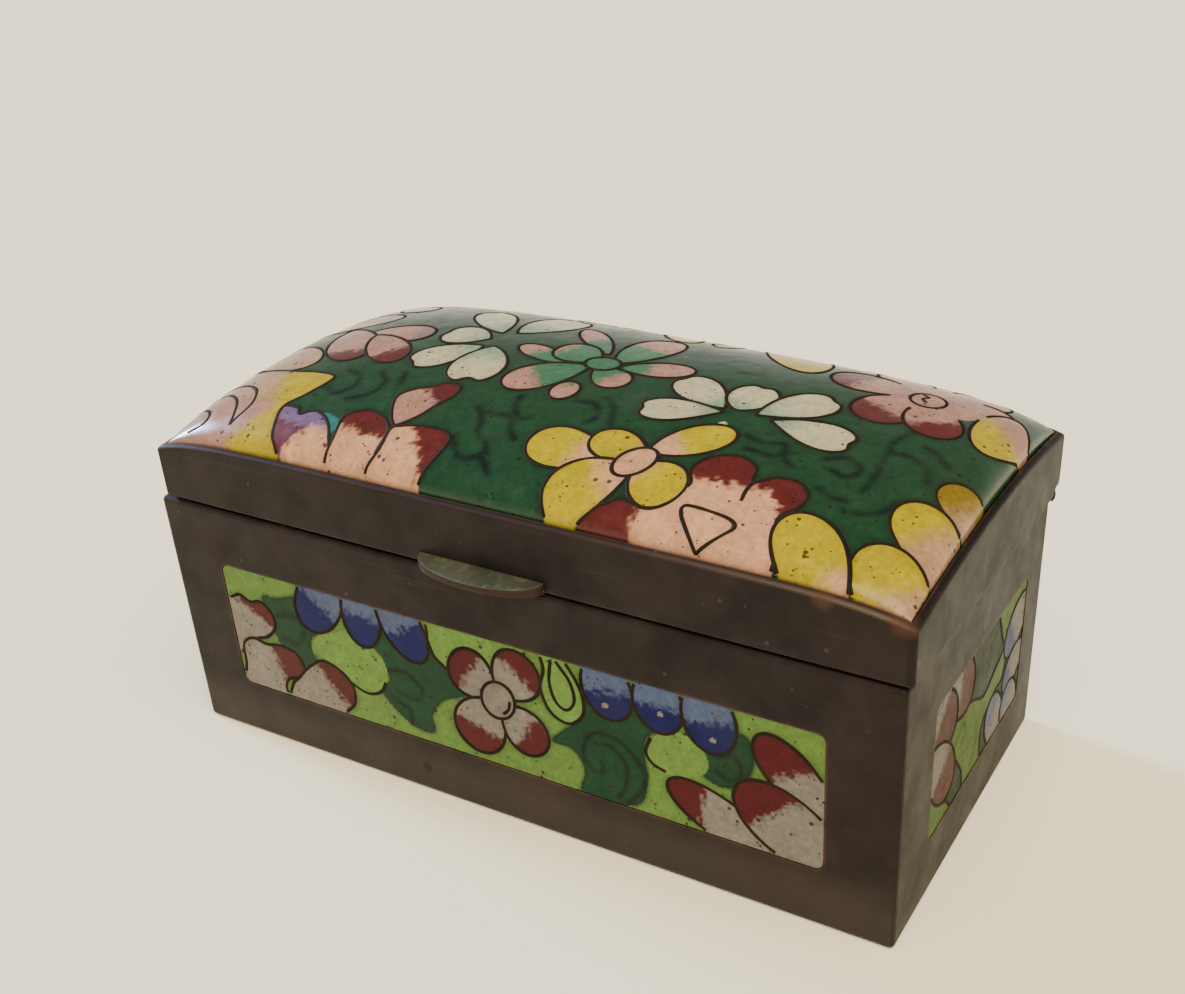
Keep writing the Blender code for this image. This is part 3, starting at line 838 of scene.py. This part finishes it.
def right_flower(d):
    """Pink flower with a ring, at the back right."""
    for base, tip, width, at in (
        ((36.4, 14.6), (29.6, 22.6), 6.6, 0.86),
        ((38.8, 15.0), (43.6, 23.4), 6.6, 0.9),
        ((40.0, 12.8), (46.6, 17.6), 6.2, 0.95),
    ):
        d.petal(base, tip, width, ROSE, MAUVE, at=at, soft=1.4, point=0.3)
    d.petal((36.0, 13.2), (25.2, 13.8), 7.6, ROSE, RED, at=0.6, soft=1.0, lean=(0, 0.15), point=0.3)
    d.petal((37.0, 12.6), (33.0, 2.7), 7.2, ROSE, RED, at=0.6, soft=1.2, point=0.25)
    d.petal((38.2, 12.0), (41.6, 3.5), 6.8, ROSE, RED, at=0.58, soft=1.0, lean=(0.5, 0), point=0.2)
    d.petal((46.8, 18.0), (46.6, 5.1), 6.0, ROSE, YELLOW, at=0.42, soft=2.0, lean=(-0.9, 0), point=0.05)
    d.cell(oval((38.2, 14.3), 5.9, 5.5), ROSE, wire=False)
    d.cell(oval((37.5, 12.8), 2.1, 2.4), ROSE)
    d.stroke((36.4, 14.2), (37.2, 13.8), (36.8, 12.8), (37.5, 12))


def left_flowers(d):
    """Pink and yellow flowers that fill the left end."""
    for base, tip, width, colour, at, soft, lean, point in (
        ((-49.0, 3.0), (-35.6, 8.4), 7.2, MAUVE, 0.8, 2.0, (0, 0), 0.2),
        ((-35.2, 1.2), (-25.6, 2.2), 6.0, MAUVE, 0.7, 2.0, (0, 0), 0.25),
        ((-39.4, 2.4), (-31.2, -7.0), 6.6, RED, 0.74, 0.8, (-0.3, -0.4), 0.2),
        ((-33.4, 0.4), (-24.7, -6.2), 5.4, RED, 0.66, 0.8, (0.3, -0.2), 0.25),
        ((-50.0, -4.0), (-36.0, -8.8), 7.0, SHELL, 0.5, 3.0, (0, -0.8), 0.15),
    ):
        d.petal(base, tip, width, ROSE, colour, at=at, soft=soft, lean=lean, point=point)
    d.cell(
        blob(
            (-50, -9.5), (-44, -10), (-38, -10.6), (-33.8, -10.6), (-30.6, -11), (-30.2, -12.4),
            (-31.4, -15.4), (-32.8, -17.8), (-31.4, -21.4), (-29.6, -25), (-50, -25)
        ),
        SHELL,
        (YELLOW, (-37, -14), (1, 0.5), 3.0),
        (ROSE, (-35.4, -17.2), (-0.2, -1), 1.6),
        (YELLOW, (-36.0, -21), (1, -0.55), 1.8),
    )
    loop_end = (-38.5, -21.3)
    d.stroke((-48.4, -15.2), (-44.2, -13.8), (-40.2, -14.8), (-38, -17.8), loop_end)
    d.stroke((-48.4, -17.2), (-44.4, -15.8), (-41.2, -17.2), (-39.3, -19.6), loop_end)
    d.stroke((-48.4, -18.9), (-45.6, -18.5), (-43.4, -19.8), (-43.2, -21.4), (-44.8, -22.4))


def back_of_lid(d):
    """What lies behind the crest: more of the same, plainer."""
    d.petal((-2.2, 24.4), (4.6, 15.0), 5.0, OCHRE, YELLOW, point=0.2)
    d.petal((13.0, 26.6), (23.0, 11.9), 8.0, OCHRE, YELLOW, point=0.1)
    for base, tip, width in (
        ((-41, 20), (-32, 23.4), 5.0), ((-41.6, 17), (-35, 12.4), 5.4), ((-43, 18.6), (-48.4, 22), 5.0),
        ((-43, 17.6), (-48, 12), 5.0)
    ):
        d.petal(base, tip, width, ROSE, MAUVE, at=0.6, soft=1.6, point=0.3)
    d.cell(oval((-41.8, 18.4), 1.8, 1.6), CREAM)
    d.petal((-8.8, 18.4), (-15.6, 22.6), 4.2, PALE_GREEN, CREAM, at=0.4, soft=2.0, notch=0.4, point=0.3)
    d.petal((-7.6, 19.6), (-6.4, 25.6), 4.6, PALE_GREEN, CREAM, at=0.4, soft=2.0, notch=0.4, point=0.3)
    d.petal((8.4, 22.4), (8.6, 15.8), 3.6, ROSE, MAUVE, at=0.5, soft=1.4, point=0.3)


def veins_of_lid(d):
    """Scrolls that the green enamel has almost covered."""
    for points in (
        [(-7.6, -12.4), (-6, -14), (-5, -16.2), (-3.4, -17.2), (-2.2, -18.6)],
        [(-5.8, -12.8), (-3, -12.8), (-1.4, -14.8), (-0.2, -16)],
        [(-7.4, -17.4), (-6.2, -19), (-4.6, -19.9), (-2.4, -19.4), (-0.4, -20.9)],
        [(-4.2, -8.8), (-3.6, -10.8), (-2, -12.6), (-0.6, -12.2)],
        [(2.6, -7.6), (5, -7.4), (6.6, -9.4), (6.2, -11)],
        [(5.4, -5.6), (7.4, -7.2), (9, -10.6)],
        [(24, -7), (26.4, -7.6), (28.6, -7), (29.6, -9.2), (31, -10.2)],
        [(25.2, -9.4), (28.2, -9.4), (30, -8)],
        [(39.2, 3), (38.6, 0), (38.9, -4), (39.3, -8), (39.2, -11)],
        [(39.4, -2.6), (41.2, -2.1), (43.4, -3.2), (44.2, -5.4)],
        [(41.6, 0.9), (43.4, 0.2), (45, -1.2)],
        [(35, -12.4), (36.8, -13.2), (38.6, -13)],
        [(42.8, -10.6), (42.4, -12.4), (40.8, -14), (38.6, -14.4)],
        [(33.6, -7.4), (35.6, -6.2), (37.6, -7.4), (36.8, -9.4), (35, -9)],
        [(-29.4, -9.6), (-27, -10.4), (-26, -12.6), (-27.6, -14.4), (-29.4, -13.4)],
        [(-24.6, -9), (-22.6, -10.8), (-22.8, -13.4), (-24.8, -15)],
        [(-21.4, -8.6), (-20.2, -10.6)],
        [(12.4, 8), (14.2, 10.6), (17.6, 10.4), (18.4, 7.8), (16.4, 6.8)],
        [(24.6, 8.4), (27, 10.4), (29.4, 9.2)],
        [(8.4, 9.2), (9.6, 12.6), (13, 13.6)],
        [(-14.6, 20.4), (-10.4, 18.6), (-6, 20.4), (-5.4, 22.8)],
        [(-27.4, 6.8), (-30, 8.6), (-30.4, 12), (-27.6, 13.6)],
        [(-22, 19.4), (-25.6, 21.4), (-29, 19.6), (-28.4, 17.2)],
        [(25.6, 18.4), (24.8, 21.8), (27.4, 23.6)],
        [(-33.6, 15.4), (-31, 17.4), (-31.6, 20.6)],
    ):
        curl(d, points, 0.5, 1.0)


def four_petals(d, centre, petals, inner, outer):
    """A flower with a ring; its petals are given from its centre."""
    cx, cy = centre
    for (bx, by), (tx, ty), width, lean in petals:
        d.petal(
            (cx + bx, cy + by), (cx + tx, cy + ty), width, inner, outer, at=0.55, soft=0.8, lean=lean,
            point=0.15
        )
    d.cell(oval(centre, 2.65, 2.3, 60), inner)


CROSS_FLOWER = (
    ((-0.6, 0.5), (-6.2, 4.5), 6.8, (-0.1, 0.1)),
    ((0.5, 1.1), (5.0, 6.9), 6.6, (0.2, 0.2)),
    ((-0.6, -0.5), (-5.2, -7.8), 7.2, (0.1, -0.3)),
    ((0.8, -0.7), (6.0, -5.5), 6.3, (0.3, -0.1)),
)


def blue_petals(d, petals):
    for base, tip, width in petals:
        d.petal(base, tip, width, SKY, BLUE, at=0.55, soft=0.9, point=0.05)


def dark_leaf(d, *points):
    """A dark green leaf whose own wire the enamel has covered."""
    outline = blob(*points)
    d.cell(outline, LEAF, wire=False)
    d.vein(np.vstack([outline, outline[:1]]), 0.3, 0.7)


def front_design():
    d = Design(LIME, LEAF_VEIN)
    # Dark leaves between the flowers
    dark_leaf(
        d, (-35.6, 21.6), (-33, 22.4), (-29.6, 23.4), (-27, 22.4), (-26.4, 19.6), (-28.4, 17.6),
        (-28.2, 15.2), (-26.4, 13.8), (-29.4, 13.2), (-33.4, 14.6)
    )
    dark_leaf(
        d, (-22, 21.6), (-17, 22), (-8.8, 21.4), (-7, 19), (-4, 16.8), (-8, 14.6), (-10, 12), (-10.2, 9.4),
        (-13.6, 9.5), (-17.6, 12.8), (-16.2, 15.6), (-18.4, 19)
    )
    dark_leaf(
        d, (9, 15.6), (11.8, 18.4), (12, 21.6), (16, 22.6), (24, 21), (20.4, 18.4), (20, 15), (20.2, 12.4),
        (18.6, 8.4), (11.4, 7.4), (11.7, 11), (10.4, 13.4), (7.6, 13.8)
    )
    dark_leaf(d, (24.8, 20), (28.6, 20.6), (32, 22.4), (33.4, 20.6), (33, 17.4), (30.6, 14.9), (27.4, 15.4))
    curl(d, [(12.2, 15.6), (14, 16.9), (17, 16.4), (19.5, 13.8), (19.5, 10.8), (17.4, 8.4)])
    curl(d, [(12.4, 15.7), (11.7, 13.6), (12.6, 11.6), (14.2, 11.5), (14.2, 13)])
    curl(d, [(13.4, 15.3), (15.6, 15.4), (17.4, 13.4), (17.2, 10.6), (16.2, 8.6)])
    curl(d, [(-16.4, 16.6), (-13.6, 17), (-11.2, 15.2), (-12.4, 13.4), (-15.2, 14)])
    curl(d, [(-17.4, 13.8), (-15.4, 12.4), (-13.6, 11.6), (-13.6, 9.6)])
    curl(d, [(-33.4, 19.8), (-30.6, 20.4), (-29.2, 18.6), (-31, 16.4), (-33, 16.6)], 0.5)
    curl(d, [(29, 18.6), (31, 19.2), (32, 17.4), (30.6, 15.8), (29, 16.6)])
    # Lime leaves over the dark ones
    for outline in (
        blob(
            (-28.4, 16.2), (-27, 18.6), (-24, 19.8), (-21.4, 21), (-19.2, 19.8), (-17, 18.2), (-16.5, 16),
            (-17.6, 13.4), (-20.4, 12.2), (-22.8, 13.2), (-25.4, 14.8)
        ),
        blob((20.3, 15.6), (20.8, 18.2), (23.4, 20.2), (26.8, 19.4), (28, 16.8), (26.2, 14.9), (22.6, 14.2)),
    ):
        d.cell(outline, LIME, wire=False)
    d.stroke((-25.6, 14.7), (-22.8, 13), (-20.2, 12.1), (-18, 12.9), (-16.9, 14.6))
    d.stroke((20.8, 18.4), (20.1, 16.4), (20.9, 15), (22.6, 14.4))
    d.cell(blob((-9.2, 24), (-9, 21.8), (-7.8, 20), (-3, 18), (3.6, 21), (3.4, 28), (-8.4, 28)), LIME)
    d.cell(
        blob(
            (6.6, 26.4), (7.1, 23.4), (6.5, 20.6), (7.6, 17.8), (10, 16.9), (12, 18.6), (12.1, 21.4),
            (10.6, 24.4), (8.6, 26.4)
        ),
        LIME
    )
    d.stroke((8.2, 24.9), (7.8, 21.8), (8.5, 19.4), (9.9, 18.7), (11, 20.2), (10.6, 22.6), (8.8, 25))
    blue_petals(
        d,
        (
            ((-22.6, 28.0), (-29.0, 19.4), 6.6),
            ((-18.8, 28.4), (-19.7, 19.0), 6.0),
            ((-15.6, 28.2), (-10.6, 19.2), 6.4),
            ((14.6, 27.2), (16.2, 19.2), 6.6),
            ((21.6, 27.2), (22.2, 19.4), 6.3),
            ((27.2, 27.4), (29.0, 18.8), 6.6),
        ),
    )
    for centre in ((15.1, 20.9), (22.2, 21.9), (28.6, 20.5)):
        d.cell(oval(centre, 0.42, 0.36, steps=10), WHITE, wire=False)
    four_petals(d, (0.2, 17.1), CROSS_FLOWER, WHITE, BRICK)
    d.stroke((1.9, 17.4), (1.6, 16.2), (0.8, 15.4))
    # White and red flower at the left end
    d.cell(
        blob(
            (-45, 20.6), (-41.6, 20.5), (-39.6, 21.3), (-37.8, 20.7), (-36, 21.1), (-34.4, 19.8),
            (-34.3, 17.8), (-36, 16), (-38.4, 15), (-41, 12.6), (-45, 12)
        ),
        WHITE,
        (BRICK, (-37.6, 19.2), (0.5, 0.85), 0.8),
    )
    d.cell(
        blob(
            (-40.9, 11), (-40.6, 13.8), (-38.8, 15.1), (-36.4, 14.8), (-34, 15.2), (-31.4, 14.7),
            (-30.4, 12.6), (-31.8, 11), (-33.6, 10.3), (-34.4, 8.6), (-33.6, 6), (-41.4, 6)
        ),
        WHITE,
        (BRICK, (-34.9, 12.4), (0.9, 0.35), 0.8),
    )
    d.cell(
        blob(
            (-33.6, 6), (-33.2, 9.4), (-31.4, 11.4), (-29.4, 13.4), (-27, 14.9), (-24.4, 14.3),
            (-22.5, 12.4), (-22.7, 9.8), (-24.4, 8), (-26, 6)
        ),
        WHITE,
        (BRICK, (-26.6, 11.9), (0.75, 0.66), 0.8),
    )
    # White and red petals at the right end
    for base, tip, width, at, lean, point in (
        ((43.6, 13.6), (33.8, 22.8), 5.8, 0.58, (0.3, 0.1), 0.25),
        ((39.8, 5.8), (22.8, 13.2), 5.8, 0.74, (0, -0.3), 0.28),
        ((44.6, 8.0), (31.3, 15.5), 8.4, 0.68, (0.1, 0.35), 0.1),
    ):
        d.petal(base, tip, width, WHITE, BRICK, at=at, soft=0.9, lean=lean, point=point)
    return d


def right_design():
    d = Design(DULL_GREEN, LEAF_VEIN)
    d.cell(
        blob(
            (7, 27), (8.2, 22), (9.4, 19.4), (6, 17.8), (2.6, 16.6), (-2, 18.6), (-8, 20), (-9.6, 17),
            (-6.6, 13.4), (-4, 10), (-3, 6), (2.4, 6), (2.6, 12), (6.4, 14.4), (10, 15), (11, 19),
            (12, 22.6), (18, 24), (18, 27)
        ),
        DULL_LIME
    )
    d.cell(blob((-16, 6), (-16, 12.8), (-13.6, 12.6), (-11, 10.4), (-8.6, 9), (-8, 6)), DULL_LIME)
    for points in (
        [(-1.6, 21.8), (1.4, 23.4), (4.4, 22), (3.4, 19.6), (1.4, 20.6)],
        [(-7, 16), (-5, 17.4), (-3.6, 15.6), (-5, 14.4)], [(-0.6, 9), (0.8, 11.6), (0.4, 14)]
    ):
        curl(d, points, 0.34, 0.7)
    for base, tip, width, at, soft, lean in (
        ((-11.6, 27.4), (-2.2, 19.6), 7.4, 0.55, 1.0, (0.5, 0.4)),
        ((-16.2, 25.6), (-8.0, 18.4), 7.4, 0.42, 1.2, (0.1, -0.3)),
        ((-15.6, 19.6), (-7.6, 10.6), 6.8, 0.5, 1.0, (0, -0.4)),
    ):
        d.petal(base, tip, width, DULL_WHITE, DULL_BRICK, at=at, soft=soft, lean=lean, point=0.15)
    for base, tip, width, colour, at in (
        ((19.0, 22.4), (10.0, 18.0), 6.6, DULL_BLUE, 0.6),
        ((18.6, 15.6), (10.4, 12.8), 5.6, DULL_BLUE, 0.62),
        ((10.4, 6.4), (5.2, 13.8), 6.2, GREY_BLUE, 0.6),
        ((16.6, 5.8), (11.4, 11.6), 6.4, GREY_BLUE, 0.66),
    ):
        d.petal(base, tip, width, DULL_WHITE, colour, at=at, soft=1.6, point=0.1)
    return d


def back_design():
    """In keeping with the front, and plainer."""
    d = Design(LIME, LEAF_VEIN)
    for way in (-1, 1):
        for outline in (
            [
                (8, 16), (11, 19.6), (10.6, 25.6), (15, 27), (19, 20), (17, 14.6), (18.4, 9), (12, 7),
                (11.4, 12)
            ],
            [(26, 27), (25, 20), (28, 15.4), (26.4, 7), (31, 7), (33.6, 13.4), (31.6, 20), (33, 27)],
        ):
            dark_leaf(d, *((way * x, z) for x, z in outline))
        for points in (
            [(12, 18), (15.4, 18.6), (16.2, 15), (13.6, 13.4), (12.8, 10.6)],
            [(27.6, 17.6), (30.4, 17), (30.6, 13), (28.8, 11)]
        ):
            curl(d, [(way * x, z) for x, z in points], 0.34, 0.75)
        blue_petals(
            d,
            (
                ((way * 16.4, 28.4), (way * 15.4, 19.6), 6.2), ((way * 22.4, 28.4), (way * 22.2, 18.8), 6.0),
                ((way * 28.0, 28.4), (way * 29.8, 19.6), 6.2)
            )
        )
        for base, tip, width in (
            ((44.4, 16.6), (35.0, 22.6), 6.4), ((41.0, 6.2), (24.6, 12.6), 6.4),
            ((45.0, 9.4), (33.0, 15.8), 7.6)
        ):
            d.petal(
                (way * base[0], base[1]), (way * tip[0], tip[1]), width, WHITE, BRICK, at=0.58, soft=0.9,
                point=0.2
            )
    four_petals(d, (0, 16.6), CROSS_FLOWER, WHITE, BRICK)
    return d


def left_design():
    """In keeping with the right end, and plainer."""
    d = Design(LIME, LEAF_VEIN)
    middle = -END_PANEL_SHIFT
    for way in (-1, 1):
        outline = [
            (5.4, 14), (8.4, 17.4), (8, 27), (12, 27), (12.6, 19), (11, 12.8), (12.4, 6), (7.4, 6), (8.2, 11)
        ]
        dark_leaf(d, *((middle + way * x, z) for x, z in outline))
        points = [(8.6, 18), (10.6, 17.4), (10.4, 14), (8.8, 12.4)]
        curl(d, [(middle + way * x, z) for x, z in points], 0.34, 0.75)
        blue_petals(
            d,
            (
                ((middle + way * 11.6, 28.6), (middle + way * 10.8, 20.2), 5.6),
                ((middle + way * 17.0, 28.0), (middle + way * 16.0, 19.6), 5.6)
            )
        )
        d.petal(
            (middle + way * 19.4, 7.6), (middle + way * 10.8, 13.6), 7.0, WHITE, BRICK, at=0.56, soft=0.9,
            point=0.2
        )
    four_petals(d, (middle, 16.6), CROSS_FLOWER, WHITE, BRICK)
    return d


# The scene

WALL_LIGHT = 1.3
CEILING_LIGHT = 0.27


def direction(azimuth, elevation):
    a, e = math.radians(azimuth), math.radians(elevation)
    return Vector((math.cos(a) * math.cos(e), math.sin(a) * math.cos(e), math.sin(e)))


def soft_sun(name, azimuth, elevation, width, strength, colour):
    """Light that comes from one side, as even as a large window's. The width is in degrees."""
    data = bpy.data.lights.new(name, "SUN")
    data.angle = math.radians(width)
    data.energy = strength
    data.color = colour
    lamp = bpy.data.objects.new(name, data)
    lamp.rotation_euler = direction(azimuth, elevation).to_track_quat("Z", "Y").to_euler()
    bpy.context.scene.collection.objects.link(lamp)


def room_light():
    """Pale walls all round, with a dimmer ceiling."""
    world = bpy.data.worlds.new("room light")
    world.use_nodes = True
    tree = world.node_tree
    where = tree.nodes.new("ShaderNodeTexCoord")
    axes = tree.nodes.new("ShaderNodeSeparateXYZ")
    fall = tree.nodes.new("ShaderNodeMapRange")
    fall.inputs["From Min"].default_value = 0.1
    fall.inputs["From Max"].default_value = 0.45
    fall.inputs["To Min"].default_value = WALL_LIGHT
    fall.inputs["To Max"].default_value = CEILING_LIGHT
    tree.links.new(where.outputs["Generated"], axes.inputs[0])
    tree.links.new(axes.outputs["Z"], fall.inputs["Value"])
    background = tree.nodes["Background"]
    background.inputs["Color"].default_value = (*tone(238, 232, 222), 1)
    tree.links.new(fall.outputs[0], background.inputs["Strength"])
    bpy.context.scene.world = world


def make_floor(material):
    size = 3.0
    mesh = bpy.data.meshes.new("floor")
    mesh.from_pydata(
        [(-size, -size, 0), (size, -size, 0), (size, size, 0), (-size, size, 0)], [], [(0, 1, 2, 3)]
    )
    mesh.materials.append(material)
    floor = bpy.data.objects.new("floor", mesh)
    bpy.context.scene.collection.objects.link(floor)


def make_camera():
    data = bpy.data.cameras.new("camera")
    data.sensor_width = 36
    data.lens = 40.446
    data.shift_x = -0.1245
    data.shift_y = 0.0616
    data.clip_start = 0.005
    data.clip_end = 20
    camera = bpy.data.objects.new("camera", data)
    camera.location = (0.08511, -0.12521, 0.10320)
    camera.rotation_euler = Euler([math.radians(a) for a in (61.744, 0.582, 27.375)])
    bpy.context.scene.collection.objects.link(camera)
    bpy.context.scene.camera = camera


def dress(name, face, design, body, glaze, node):
    """Puts a design's enamel and wires in the place of a plain plate."""
    enamel_plate(f"{name}_enamel_flowers", face, design, body, glaze, node)
    wire_work(f"{name}_wires", face, design, body, wire)


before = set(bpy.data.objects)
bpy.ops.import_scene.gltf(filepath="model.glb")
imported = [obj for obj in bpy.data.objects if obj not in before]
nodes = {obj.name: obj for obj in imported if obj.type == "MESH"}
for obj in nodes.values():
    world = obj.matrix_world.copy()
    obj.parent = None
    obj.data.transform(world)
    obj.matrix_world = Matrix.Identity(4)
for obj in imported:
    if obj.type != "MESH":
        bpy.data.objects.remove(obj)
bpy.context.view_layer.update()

copper = patinated_copper()
tab_brass = olive_brass()
hinge_brass = Patina("hinge brass", tone(20, 17, 14), tone(38, 32, 26), tone(80, 60, 42), 0.5, 0.0003)
hinge_brass = hinge_brass.finish(0.3, 0.2)
wire = Patina("wire", tone(26, 21, 16), tone(38, 30, 22), tone(70, 52, 34), 0.66, 0.0001, 0)
wire = wire.finish(0.0, 0.05)
lid_glaze = enamel("lid enamel", 0.32)
dusty_glaze = enamel("dusty panel enamel", 0.01, 0.12)
panel_glaze = enamel("panel enamel", 0.1)

for material, names in (
    (copper, ("tray", "lid_shell")),
    (hinge_brass, ("hinge_leaf_box", "hinge_leaf_lid", "hinge_pin")),
    (tab_brass, ("thumb_tab",)),
):
    for name in names:
        nodes[name].data.materials.clear()
        nodes[name].data.materials.append(material)

dress("lid", LidFace(), lid_design(), "lid", lid_glaze, "lid_enamel")
for name, turn, across, width, shift, design, glaze in (
    ("front", 0, TRAY_DEPTH, PANEL_LENGTH, 0, front_design(), panel_glaze),
    ("right", 90, TRAY_LENGTH, END_PANEL_WIDTH, END_PANEL_SHIFT, right_design(), dusty_glaze),
    ("back", 180, TRAY_DEPTH, PANEL_LENGTH, 0, back_design(), panel_glaze),
    ("left", -90, TRAY_LENGTH, END_PANEL_WIDTH, -END_PANEL_SHIFT, left_design(), panel_glaze),
):
    face = SideFace(turn, across / 2, width, shift)
    dress(name, face, design, "box", glaze, f"{name}_enamel_panel")

pin_end(wire)

make_floor(plain("pale floor", tone(253, 244, 212), 0.7))
make_camera()
room_light()
soft_sun("lamp", -45, 62, 60, 5.2, (1.0, 0.90, 0.74))
soft_sun("window", 173, 20, 11, 4.9, (0.54, 0.70, 1.0))
